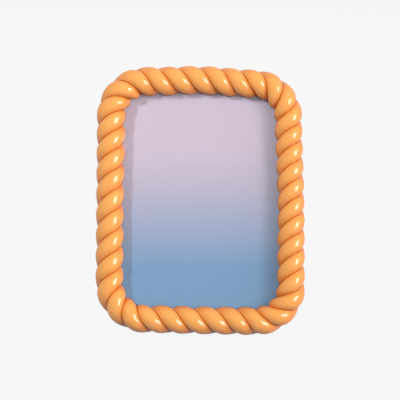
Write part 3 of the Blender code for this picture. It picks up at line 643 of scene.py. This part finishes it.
nap = add_node(
    tree,
    "ShaderNodeBump",
    {"Strength": 0.5, "Distance": 0.06 * MM},
    {"Height": flecks.outputs["Fac"]},
)
tree.links.new(nap.outputs["Normal"], shader.inputs["Normal"])
rubbed = add_node(
    tree,
    "ShaderNodeMapRange",
    {"To Min": 0.62, "To Max": 0.85},
    {"Value": patches.outputs["Fac"]},
)
tree.links.new(rubbed.outputs["Result"], shader.inputs["Roughness"])
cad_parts["back_board"].material_slots[0].material = fibreboard


# The turn buttons
# Six tabs pressed from 1 mm steel strip with a raised thumb dimple, nickel plated. Each
# swings on its screw over the edge of the board and holds it in.

BUTTON_REACH = 15.0 * MM
BUTTON_HEEL = 5.0 * MM
BUTTON_WIDTH = 9.0 * MM
BUTTON_THICKNESS = 1.0 * MM
BUTTON_EDGE = 0.22 * MM
DIMPLE_AT = 10.3 * MM
DIMPLE_RADIUS = 2.4 * MM
DIMPLE_RISE = 0.45 * MM
DIMPLE_SINK = 0.05 * MM
END_ROUNDING = 0.99  # of half the width, just short of where the bevels would meet
SMOOTH_ANGLE = math.radians(40)
HARDWARE_SEAT = FRAME_BACK + GAP


def round_edges(piece, width, segments=2, angle=30):
    """Breaks every sharp edge of a piece and shades it smooth."""
    select_only(piece)
    broken = piece.modifiers.new("broken_edges", "BEVEL")
    broken.width = width
    broken.segments = segments
    broken.limit_method = "ANGLE"
    broken.angle_limit = math.radians(angle)
    bpy.ops.object.modifier_apply(modifier=broken.name)
    bpy.ops.object.shade_smooth_by_angle(angle=SMOOTH_ANGLE)


def hang(piece, axes, finish, body, node):
    """Lays a piece in place on its body and lets it stand for its solid."""
    piece.data.transform(axes)
    piece.data.materials.clear()
    piece.data.materials.append(finish)
    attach(piece, body)
    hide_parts(node)


def hang_copy(pattern, name, axes, finish, body, node):
    """Hangs a copy of a pattern piece, with a mesh of its own."""
    piece = bpy.data.objects.new(name, pattern.data.copy())
    bpy.context.scene.collection.objects.link(piece)
    hang(piece, axes, finish, body, node)


# Bright but not mirror-like: rolled strip under a thin nickel layer, with a warm tone. The
# rolling marks are drawn coarser than real ones, so that they show
nickel, tree, shader = new_finish("nickel_plated_pressed_steel")
place = add_node(tree, "ShaderNodeTexCoord")
rolled = add_node(
    tree,
    "ShaderNodeMapping",
    {"Scale": (1.0, 1.0, 0.06)},
    {"Vector": place.outputs["Object"]},
)
streaks = add_node(
    tree,
    "ShaderNodeTexNoise",
    {"Scale": 1 / (0.35 * MM), "Detail": 3.0},
    {"Vector": rolled.outputs["Vector"]},
)
dulled = add_node(
    tree,
    "ShaderNodeTexNoise",
    {"Scale": 1 / (6 * MM), "Detail": 2.0},
    {"Vector": place.outputs["Object"]},
)
sheen = add_node(
    tree,
    "ShaderNodeMath",
    {"operation": "MULTIPLY"},
    {0: streaks.outputs["Fac"], 1: dulled.outputs["Fac"]},
)
rough = add_node(
    tree,
    "ShaderNodeMapRange",
    {"From Min": 0.1, "From Max": 0.4, "To Min": 0.18, "To Max": 0.36},
    {"Value": sheen.outputs["Value"]},
)
tree.links.new(rough.outputs["Result"], shader.inputs["Roughness"])
plate_tone = add_node(
    tree,
    "ShaderNodeMix",
    {"data_type": "RGBA", 6: linear("#B6B0A5"), 7: linear("#A09A8F")},
    {0: dulled.outputs["Fac"]},
)
tree.links.new(plate_tone.outputs[2], shader.inputs["Base Color"])
shader.inputs["Metallic"].default_value = 1.0
drawn = add_node(
    tree,
    "ShaderNodeBump",
    {"Strength": 0.3, "Distance": 0.01 * MM},
    {"Height": streaks.outputs["Fac"]},
)
tree.links.new(drawn.outputs["Normal"], shader.inputs["Normal"])

half = BUTTON_WIDTH / 2
button = add_block((-BUTTON_HEEL, 0, -half), (BUTTON_REACH, BUTTON_THICKNESS, half))
round_corners(button, END_ROUNDING * half, segments=12)
bpy.ops.object.select_all(action="DESELECT")
bpy.ops.mesh.primitive_uv_sphere_add(
    segments=32,
    ring_count=16,
    radius=DIMPLE_RADIUS,
    location=(DIMPLE_AT, BUTTON_THICKNESS - DIMPLE_SINK, 0),
)
dimple = bpy.context.active_object
dimple.scale = (1.0, DIMPLE_RISE / DIMPLE_RADIUS, 1.0)
bpy.ops.object.transform_apply(location=True, rotation=False, scale=True)
cut_away(button, dimple, "UNION")
cut_away(button, add_rod((0, 0), PILOT_RADIUS, (-BUTTON_THICKNESS, 2 * BUTTON_THICKNESS)))
round_edges(button, BUTTON_EDGE)
for place_name, (x, z, turn) in button_places.items():
    axes = frame_axes @ Matrix.Translation((x, HARDWARE_SEAT, z)) @ Matrix.Rotation(turn, 4, "Y")
    hang_copy(
        button,
        "turn_button_plate_" + place_name,
        axes,
        nickel,
        "button_" + place_name,
        "turn_button_" + place_name,
    )
bpy.data.objects.remove(button, do_unlink=True)


# The screws of the turn buttons
# Pan-head self-tapping screws with a cross recess, zinc plated, in pilot holes in the
# back of the moulding.

SCREW_RADIUS = 1.1 * MM
SCREW_LENGTH = 7.6 * MM
SCREW_HEAD_RADIUS = 2.6 * MM
SCREW_HEAD_HEIGHT = 1.5 * MM
RECESS_WIDTH = 0.75 * MM
RECESS_LENGTH = 3.0 * MM
RECESS_DEPTH = 0.9 * MM
RECESS_TAPER = 0.45  # length of its arms at the floor, against that above the head
DOME_EDGE = 0.35  # height of a head's rim against its middle
DOME_STEPS = 9
HEAD_RIM = 0.12 * MM
MERGE_DISTANCE = 0.005 * MM


def add_turned(name, profile, steps=32):
    """A solid spun round the depth axis from a half profile of radius and depth."""
    mesh = bpy.data.meshes.new(name)
    points = [(radius, depth, 0.0) for radius, depth in profile]
    mesh.from_pydata(points, [(index, index + 1) for index in range(len(points) - 1)], [])
    piece = bpy.data.objects.new(name, mesh)
    bpy.context.scene.collection.objects.link(piece)
    select_only(piece)
    bpy.ops.object.mode_set(mode="EDIT")
    bpy.ops.mesh.select_all(action="SELECT")
    bpy.ops.mesh.spin(steps=steps, angle=2 * math.pi, center=(0, 0, 0), axis=(0, 1, 0))
    bpy.ops.mesh.select_all(action="SELECT")
    bpy.ops.mesh.remove_doubles(threshold=MERGE_DISTANCE)
    bpy.ops.mesh.normals_make_consistent(inside=False)
    bpy.ops.object.mode_set(mode="OBJECT")
    bpy.ops.object.shade_smooth_by_angle(angle=SMOOTH_ANGLE)
    return piece


def domed_profile(head_radius, head_height, shank_radius, shank_length):
    """Half profile of a domed head on a straight shank, the head standing on depth 0."""
    dome = [
        (
            (head_radius - HEAD_RIM) * math.sin(angle),
            head_height * (DOME_EDGE + (1 - DOME_EDGE) * math.cos(angle)),
        )
        for angle in np.linspace(0, math.pi / 2, DOME_STEPS)
    ]
    return [
        *dome,
        (head_radius, head_height * DOME_EDGE - HEAD_RIM),
        (head_radius, 0.0),
        (shank_radius, 0.0),
        (shank_radius, -shank_length),
        (0.0, -shank_length),
    ]


# Bright zinc: bluer and greyer than the nickel, and a little blotched from the bath. The
# blotches are drawn coarser than real ones, so that they show
zinc, tree, shader = new_finish("zinc_plated_steel")
place = add_node(tree, "ShaderNodeTexCoord")
bath = add_node(
    tree,
    "ShaderNodeTexNoise",
    {"Scale": 1 / (1.2 * MM), "Detail": 3.0},
    {"Vector": place.outputs["Object"]},
)
zinc_tone = add_node(
    tree,
    "ShaderNodeMix",
    {"data_type": "RGBA", 6: linear("#C9CDD0"), 7: linear("#A9AEB4")},
    {0: bath.outputs["Fac"]},
)
tree.links.new(zinc_tone.outputs[2], shader.inputs["Base Color"])
rough = add_node(
    tree,
    "ShaderNodeMapRange",
    {"From Min": 0.3, "From Max": 0.7, "To Min": 0.25, "To Max": 0.45},
    {"Value": bath.outputs["Fac"]},
)
tree.links.new(rough.outputs["Result"], shader.inputs["Roughness"])
shader.inputs["Metallic"].default_value = 1.0

screw = add_turned(
    "screw_pattern",
    domed_profile(SCREW_HEAD_RADIUS, SCREW_HEAD_HEIGHT, SCREW_RADIUS, SCREW_LENGTH),
)
for turn in (0.0, math.pi / 2):
    blade = add_block(
        (-RECESS_LENGTH / 2, SCREW_HEAD_HEIGHT - RECESS_DEPTH, -RECESS_WIDTH / 2),
        (RECESS_LENGTH / 2, 2 * SCREW_HEAD_HEIGHT, RECESS_WIDTH / 2),
    )
    for vertex in blade.data.vertices:
        if vertex.co.y < SCREW_HEAD_HEIGHT:
            vertex.co.x *= RECESS_TAPER
    blade.data.transform(Matrix.Rotation(turn, 4, "Y"))
    cut_away(screw, blade)
bpy.ops.object.shade_smooth_by_angle(angle=SMOOTH_ANGLE)
seat = HARDWARE_SEAT + BUTTON_THICKNESS + GAP
for place_name, (x, z, _) in button_places.items():
    spin = Matrix.Rotation(0.7 * x / MM + 0.4 * z / MM, 4, "Y")  # each stops at its own turn
    axes = frame_axes @ Matrix.Translation((x, seat, z)) @ spin
    name = "cross_screw_" + place_name
    hang_copy(screw, name, axes, zinc, "frame", "button_screw_" + place_name)
bpy.data.objects.remove(screw, do_unlink=True)


# The hinge of the easel leg
# Two leaves stamped from 0.8 mm strip with rolled knuckles, nickel plated, on a headed
# pin. A tongue on the leg's leaf meets the board's leaf and stops the leg at its opening.

HINGE_HEIGHT = 42.0 * MM
HINGE_DEPTH = 11.35 * MM
HINGE_HALF = 15.0 * MM
LEAF_THICKNESS = 0.8 * MM
LEAF_CORNER = 2.0 * MM
LEAF_EDGE = 0.15 * MM
BOARD_LEAF_LENGTH = 16.0 * MM
LEG_LEAF_LENGTH = 18.0 * MM
KNUCKLE_RADIUS = 2.05 * MM
MIDDLE_HALF = 7.2 * MM  # of the leg's knuckle, which turns between the board's two
BARREL_SIDES = 48
BORE_RADIUS = 1.1 * MM
PIN_RADIUS = 0.8 * MM
PIN_HEAD_RADIUS = 1.4 * MM
PIN_HEAD_HEIGHT = 0.7 * MM
PIN_CHAMFER = 0.2 * MM
STOP_HALF = 4.5 * MM
STOP_THICKNESS = 1.2 * MM
STOP_REACH = 6.5 * MM
LEG_OPENING = math.radians(24.0)
RIVET_SPREAD = 9.0 * MM
RIVET_RADIUS = 1.0 * MM
BOARD_RIVET_RISE = 11.0 * MM
LEG_RIVET_DROP = 12.0 * MM

hinge_axes = frame_axes @ Matrix.Translation((0, HINGE_DEPTH, HINGE_HEIGHT))
leg_axes = hinge_axes @ Matrix.Rotation(LEG_OPENING, 4, "X")


def add_barrel(radius, x_span):
    """A cylinder along the axis of the hinge, turned half a facet."""
    bpy.ops.object.select_all(action="DESELECT")
    bpy.ops.mesh.primitive_cylinder_add(
        vertices=BARREL_SIDES, radius=radius, depth=x_span[1] - x_span[0], location=(0, 0, 0)
    )
    barrel = bpy.context.active_object
    half_facet = Matrix.Rotation(math.pi / BARREL_SIDES, 4, "Z")
    turned = Matrix.Rotation(math.pi / 2, 4, "Y") @ half_facet
    barrel.data.transform(Matrix.Translation((sum(x_span) / 2, 0, 0)) @ turned)
    return barrel


def finish_leaf(leaf, notches, knuckles, rivet_z, tongue=None):
    """Clears the other leaf's knuckles, rolls on its own, bores it and drills it."""
    clear = KNUCKLE_RADIUS + GAP
    for low, high in notches:
        cut_away(leaf, add_block((low, -clear, -clear), (high, clear, clear)))
    if tongue:
        cut_away(leaf, tongue, "UNION")
    for span in knuckles:
        cut_away(leaf, add_barrel(KNUCKLE_RADIUS, span), "UNION")
    cut_away(leaf, add_barrel(BORE_RADIUS, (-2 * HINGE_HALF, 2 * HINGE_HALF)))
    for side in (-1, 1):
        spot = (side * RIVET_SPREAD, rivet_z)
        cut_away(leaf, add_rod(spot, RIVET_RADIUS + GAP, (-2 * clear, 2 * clear)))
    round_edges(leaf, LEAF_EDGE, angle=40)


middle_gap = MIDDLE_HALF + GAP
hinge_end = HINGE_HALF + GAP
board_leaf = add_block(
    (-HINGE_HALF, -KNUCKLE_RADIUS, 0),
    (HINGE_HALF, -KNUCKLE_RADIUS + LEAF_THICKNESS, BOARD_LEAF_LENGTH),
)
board_leaf.name = "board_leaf_plate"
round_corners(board_leaf, LEAF_CORNER, 6, where=lambda end: end.z > BOARD_LEAF_LENGTH / 2)
finish_leaf(
    board_leaf,
    [(-middle_gap, middle_gap)],
    [(-HINGE_HALF, -middle_gap), (middle_gap, HINGE_HALF)],
    BOARD_RIVET_RISE,
)
hang(board_leaf, hinge_axes, nickel, "frame", "hinge_board_leaf")

leg_leaf = add_block(
    (-HINGE_HALF, KNUCKLE_RADIUS - LEAF_THICKNESS, -LEG_LEAF_LENGTH),
    (HINGE_HALF, KNUCKLE_RADIUS, 0),
)
leg_leaf.name = "leg_leaf_plate"
round_corners(leg_leaf, LEAF_CORNER, 6, where=lambda end: end.z < -LEG_LEAF_LENGTH / 2)
tongue_front = -KNUCKLE_RADIUS + LEAF_THICKNESS + GAP
tongue = add_block(
    (-STOP_HALF, tongue_front, 0), (STOP_HALF, tongue_front + STOP_THICKNESS, STOP_REACH)
)
tongue.data.transform(Matrix.Rotation(-LEG_OPENING, 4, "X"))
finish_leaf(
    leg_leaf,
    [(-hinge_end, -MIDDLE_HALF), (MIDDLE_HALF, hinge_end)],
    [(-MIDDLE_HALF, MIDDLE_HALF)],
    -LEG_RIVET_DROP,
    tongue,
)
hang(leg_leaf, leg_axes, nickel, "leg", "hinge_leg_leaf")

pin_tip = hinge_end + PIN_HEAD_HEIGHT
pin_half = [
    (0.0, pin_tip),
    (PIN_HEAD_RADIUS - PIN_CHAMFER, pin_tip),
    (PIN_HEAD_RADIUS, pin_tip - PIN_CHAMFER),
    (PIN_HEAD_RADIUS, hinge_end),
    (PIN_RADIUS, hinge_end),
]
other_half = [(radius, -depth) for radius, depth in reversed(pin_half)]
pin = add_turned("hinge_pin_rod", pin_half + other_half)
pin_axes = hinge_axes @ Matrix.Rotation(-math.pi / 2, 4, "Z")
hang(pin, pin_axes, zinc, "frame", "hinge_pin")


# The rivets
# Solid steel rivets with low domed heads, zinc plated, set through leaf and board and
# through leaf and leg.

RIVET_HEAD_RADIUS = 2.2 * MM
RIVET_HEAD_HEIGHT = 0.9 * MM
RIVET_SHANK = 4.1 * MM

rivet = add_turned(
    "rivet_pattern", domed_profile(RIVET_HEAD_RADIUS, RIVET_HEAD_HEIGHT, RIVET_RADIUS, RIVET_SHANK)
)
for word, side in (("left", -1), ("right", 1)):
    name = "board_rivet_" + word
    seat = (side * RIVET_SPREAD, -KNUCKLE_RADIUS + LEAF_THICKNESS + GAP, BOARD_RIVET_RISE)
    axes = hinge_axes @ Matrix.Translation(seat)
    hang_copy(rivet, "domed_" + name, axes, zinc, "frame", name)
    name = "leg_rivet_" + word
    seat = (side * RIVET_SPREAD, KNUCKLE_RADIUS + GAP, -LEG_RIVET_DROP)
    axes = leg_axes @ Matrix.Translation(seat)
    hang_copy(rivet, "domed_" + name, axes, zinc, "leg", name)
bpy.data.objects.remove(rivet, do_unlink=True)


# The easel leg
# The same fibreboard, sawn to a taper with its edges sanded round and its foot cut
# level with the table.

LEG_THICKNESS = 3.0 * MM
LEG_TOP_HALF = 16.0 * MM
LEG_FOOT_HALF = 23.0 * MM
LEG_CORNER = 4.0 * MM
LEG_TOP_GAP = 0.6 * MM
LEG_EDGE = 0.45 * MM
LEG_SPARE = 12.0 * MM  # sawn off at the table
LEG_LENGTH = hinge_axes.translation.z / math.cos(LEG_OPENING - LEAN) + LEG_SPARE

leg_back = KNUCKLE_RADIUS - LEAF_THICKNESS - GAP
leg = add_block(
    (-1.0, leg_back - LEG_THICKNESS, -LEG_LENGTH), (1.0, leg_back, -KNUCKLE_RADIUS - LEG_TOP_GAP)
)
leg.name = "easel_leg_strut"
for vertex in leg.data.vertices:
    vertex.co.x *= LEG_TOP_HALF if vertex.co.z > -LEG_LENGTH / 2 else LEG_FOOT_HALF
round_corners(leg, LEG_CORNER, 8, where=lambda end: end.z > -LEG_LENGTH / 2)
leg.data.transform(leg_axes)
cut_away(leg, add_block((-LARGE, -LARGE, -LARGE), (LARGE, LARGE, 0)))
round_edges(leg, LEG_EDGE, segments=3)
leg.data.transform(leg_axes.inverted())
hang(leg, leg_axes, fibreboard, "leg", "easel_leg")


# The sawtooth hanger and its nails
# A strip of nickel plated steel, bridged in the middle with teeth along its lower edge,
# held by a short domed nail at each end.

HANGER_HALF = 22.0 * MM
HANGER_HEIGHT = 9.0 * MM
HANGER_THICKNESS = 0.8 * MM
HANGER_TAB = 8.0 * MM
HANGER_JOGGLE = 2.0 * MM
HANGER_RISE = 1.8 * MM
HANGER_EDGE = 0.12 * MM
HANGER_DROP = 6.0 * MM  # from the top of the glass
HANGER_TOP = PANE_HEIGHT / 2 - HANGER_DROP
TOOTH_COUNT = 7
TOOTH_PITCH = 3.0 * MM
TOOTH_DEPTH = 1.6 * MM
NOTCH_HALF = 0.62 * TOOTH_PITCH  # a little over half, so that the teeth end in points
NOTCH_OVERRUN = 0.3  # below the edge of the strip, in depths
NAIL_RADIUS = 0.6 * MM
NAIL_HEAD_RADIUS = 1.7 * MM
NAIL_HEAD_HEIGHT = 0.8 * MM
NAIL_SHANK = 3.6 * MM

bridge_half = HANGER_HALF - HANGER_TAB
bridge_seat = HARDWARE_SEAT + HANGER_RISE
hanger_foot = HANGER_TOP - HANGER_HEIGHT
strip = [
    (-HANGER_HALF, HARDWARE_SEAT, hanger_foot),
    (-bridge_half, HARDWARE_SEAT, hanger_foot),
    (HANGER_JOGGLE - bridge_half, bridge_seat, hanger_foot),
    (bridge_half - HANGER_JOGGLE, bridge_seat, hanger_foot),
    (bridge_half, HARDWARE_SEAT, hanger_foot),
    (HANGER_HALF, HARDWARE_SEAT, hanger_foot),
]
mesh = bpy.data.meshes.new("sawtooth_strip")
mesh.from_pydata(strip, [(index, index + 1) for index in range(len(strip) - 1)], [])
hanger = bpy.data.objects.new("sawtooth_strip", mesh)
bpy.context.scene.collection.objects.link(hanger)
select_only(hanger)
bpy.ops.object.mode_set(mode="EDIT")
bpy.ops.mesh.select_all(action="SELECT")
bpy.ops.mesh.extrude_region_move(TRANSFORM_OT_translate={"value": (0, 0, HANGER_HEIGHT)})
bpy.ops.mesh.select_all(action="SELECT")
bpy.ops.mesh.normals_make_consistent(inside=False)
bpy.ops.object.mode_set(mode="OBJECT")
if hanger.data.polygons[0].normal.y > 0:
    hanger.data.flip_normals()
wall = hanger.modifiers.new("wall", "SOLIDIFY")
wall.thickness = HANGER_THICKNESS
wall.offset = -1.0
wall.use_even_offset = True
bpy.ops.object.modifier_apply(modifier=wall.name)
for tooth in range(TOOTH_COUNT):
    x = (tooth + 0.5 - TOOTH_COUNT / 2) * TOOTH_PITCH
    bpy.ops.object.select_all(action="DESELECT")
    bpy.ops.mesh.primitive_cylinder_add(vertices=3, radius=1.0, depth=4 * HANGER_RISE)
    notch = bpy.context.active_object
    notch.data.transform(Matrix.Rotation(math.pi / 2, 4, "X"))
    crest = max(vertex.co.z for vertex in notch.data.vertices)
    spread = max(vertex.co.x for vertex in notch.data.vertices)
    base = min(vertex.co.z for vertex in notch.data.vertices)
    for vertex in notch.data.vertices:
        rise = (vertex.co.z - base) / (crest - base)
        rise = rise * (1 + NOTCH_OVERRUN) - NOTCH_OVERRUN
        vertex.co.x *= NOTCH_HALF / spread
        vertex.co.z = hanger_foot + TOOTH_DEPTH * rise
    notch.data.transform(Matrix.Translation((x, bridge_seat, 0)))
    cut_away(hanger, notch)
nail_aside = HANGER_HALF - HANGER_TAB / 2
nail_rise = hanger_foot + HANGER_HEIGHT / 2
for side in (-1, 1):
    spot = (side * nail_aside, nail_rise)
    cut_away(hanger, add_rod(spot, NAIL_RADIUS + GAP, (0, LARGE), sides=24))
round_edges(hanger, HANGER_EDGE, angle=25)
hang(hanger, frame_axes, nickel, "frame", "sawtooth_hanger")

nail = add_turned(
    "nail_pattern", domed_profile(NAIL_HEAD_RADIUS, NAIL_HEAD_HEIGHT, NAIL_RADIUS, NAIL_SHANK)
)
for word, side in (("left", -1), ("right", 1)):
    name = "hanger_nail_" + word
    seat = (side * nail_aside, HARDWARE_SEAT + HANGER_THICKNESS + GAP, nail_rise)
    axes = frame_axes @ Matrix.Translation(seat)
    hang_copy(nail, "domed_" + name, axes, zinc, "frame", name)
bpy.data.objects.remove(nail, do_unlink=True)


# The stage
# A pale floor in an evenly pale room, softboxes round the frame, and a long lens square
# to the picture, so that the frame looks upright though it leans.

PIXEL = 0.8 * MM  # of the photograph, at the picture
CAMERA_DISTANCE = 1.2
CAMERA_ASIDE = -0.3 * PIXEL
CAMERA_RISE = 0.5 * PIXEL
VIEW_WIDTH = 400 * PIXEL  # the whole width of the photograph
FLOOR_SIZE = 12.0
FLOOR_BACK = 3.0  # its middle behind the frame
FLOOR_GLOW = 0.92  # share of the floor that the camera sees at one even level
WORLD_LEVEL = 0.08  # at which the room lights the frame

bpy.ops.object.select_all(action="DESELECT")
bpy.ops.mesh.primitive_plane_add(size=FLOOR_SIZE, location=(0, FLOOR_BACK, 0))
floor = bpy.context.active_object
floor.name = "floor"


def add_plain_view(tree):
    """A socket that is 1 where camera, mirror or glass looks at the room, and else 0."""
    ray = add_node(tree, "ShaderNodeLightPath")
    direct = add_node(
        tree,
        "ShaderNodeMath",
        {"operation": "MAXIMUM"},
        {0: ray.outputs["Is Camera Ray"], 1: ray.outputs["Is Glossy Ray"]},
    )
    clear = add_node(
        tree,
        "ShaderNodeMath",
        {"operation": "MAXIMUM"},
        {0: direct.outputs["Value"], 1: ray.outputs["Is Transmission Ray"]},
    )
    first = add_node(
        tree,
        "ShaderNodeMath",
        {"operation": "LESS_THAN", 1: 0.5},
        {0: ray.outputs["Diffuse Depth"]},
    )
    seen = add_node(
        tree,
        "ShaderNodeMath",
        {"operation": "MULTIPLY"},
        {0: clear.outputs["Value"], 1: first.outputs["Value"]},
    )
    return seen.outputs["Value"]


# Matt painted board. The camera sees it evenly pale, and its own shade keeps the shadow
pale, tree, shader = new_finish("matt_painted_board")
shader.inputs["Base Color"].default_value = linear("#909090")
shader.inputs["Roughness"].default_value = 0.9
share = add_node(
    tree,
    "ShaderNodeMath",
    {"operation": "MULTIPLY", 1: FLOOR_GLOW},
    {0: add_plain_view(tree)},
)
glow = add_node(tree, "ShaderNodeEmission", {"Color": linear("#FDFDFD"), "Strength": 1.0})
even = add_node(
    tree,
    "ShaderNodeMixShader",
    None,
    {0: share.outputs["Value"], 1: shader.outputs["BSDF"], 2: glow.outputs["Emission"]},
)
tree.links.new(even.outputs["Shader"], tree.nodes["Material Output"].inputs["Surface"])
floor.data.materials.append(pale)

world = bpy.data.worlds.new("studio")
bpy.context.scene.world = world
world.use_nodes = True
tree = world.node_tree
seen = add_plain_view(tree)
strength = add_node(
    tree,
    "ShaderNodeMapRange",
    {"To Min": WORLD_LEVEL, "To Max": 1.0},
    {"Value": seen},
)
tint = add_node(
    tree,
    "ShaderNodeMix",
    {"data_type": "RGBA", 6: linear("#FFDCDE"), 7: linear("#F6F6F6")},
    {0: seen},
)
background = tree.nodes["Background"]
tree.links.new(tint.outputs[2], background.inputs["Color"])
tree.links.new(strength.outputs["Result"], background.inputs["Strength"])


def add_softbox(name, azimuth, elevation, distance, size, level, tint="#FFFFFF", glossy=False):
    """A lamp aimed at the middle of the picture, where a level of 1 lights white to white.

    Azimuth and elevation are in degrees from straight in front, distance and size in
    metres. A glossy lamp shows only in reflections, and any other only as light.
    """
    turn = Matrix.Rotation(math.radians(azimuth), 4, "Z")
    turn = turn @ Matrix.Rotation(-math.radians(elevation), 4, "X")
    light = bpy.data.lights.new(name, "AREA")
    light.shape = "RECTANGLE"
    light.size, light.size_y = size
    light.energy = level * math.pi**2 * distance**2
    light.color = linear(tint)[:3]
    lamp = bpy.data.objects.new(name, light)
    bpy.context.scene.collection.objects.link(lamp)
    lamp.matrix_world = (
        frame_axes
        @ turn
        @ Matrix.Translation((0, -distance, 0))
        @ Matrix.Rotation(math.pi / 2, 4, "X")
    )
    lamp.visible_camera = False
    lamp.visible_transmission = False
    lamp.visible_glossy = glossy
    lamp.visible_diffuse = not glossy


add_softbox("key_softbox", 52, 5, 3.0, (0.8, 1.3), 0.46, "#FFFDFA")
add_softbox("key_reflection", 47, 5, 3.0, (1.6, 1.6), 1.0, glossy=True)
add_softbox("side_softbox", 79, 5, 3.0, (1.2, 1.8), 0.8, "#FFFFF4")
add_softbox("upper_left_lamp", -43, 24, 1.6, (0.08, 0.08), 0.66, "#ECFFFE")
add_softbox("front_softbox", 0, 28, 0.9, (0.4, 0.4), 0.32, "#FFF2FC")
add_softbox("back_softbox", 180, 50, 3.0, (1.5, 1.5), 0.6)

lens = bpy.data.cameras.new("camera")
lens.sensor_width = 36.0
lens.lens = lens.sensor_width * CAMERA_DISTANCE / VIEW_WIDTH
camera = bpy.data.objects.new("camera", lens)
bpy.context.scene.collection.objects.link(camera)
camera.matrix_world = (
    frame_axes
    @ Matrix.Translation((CAMERA_ASIDE, -CAMERA_DISTANCE, CAMERA_RISE))
    @ Matrix.Rotation(math.pi / 2, 4, "X")
)
bpy.context.scene.camera = camera
bpy.context.scene.view_settings.view_transform = "Standard"
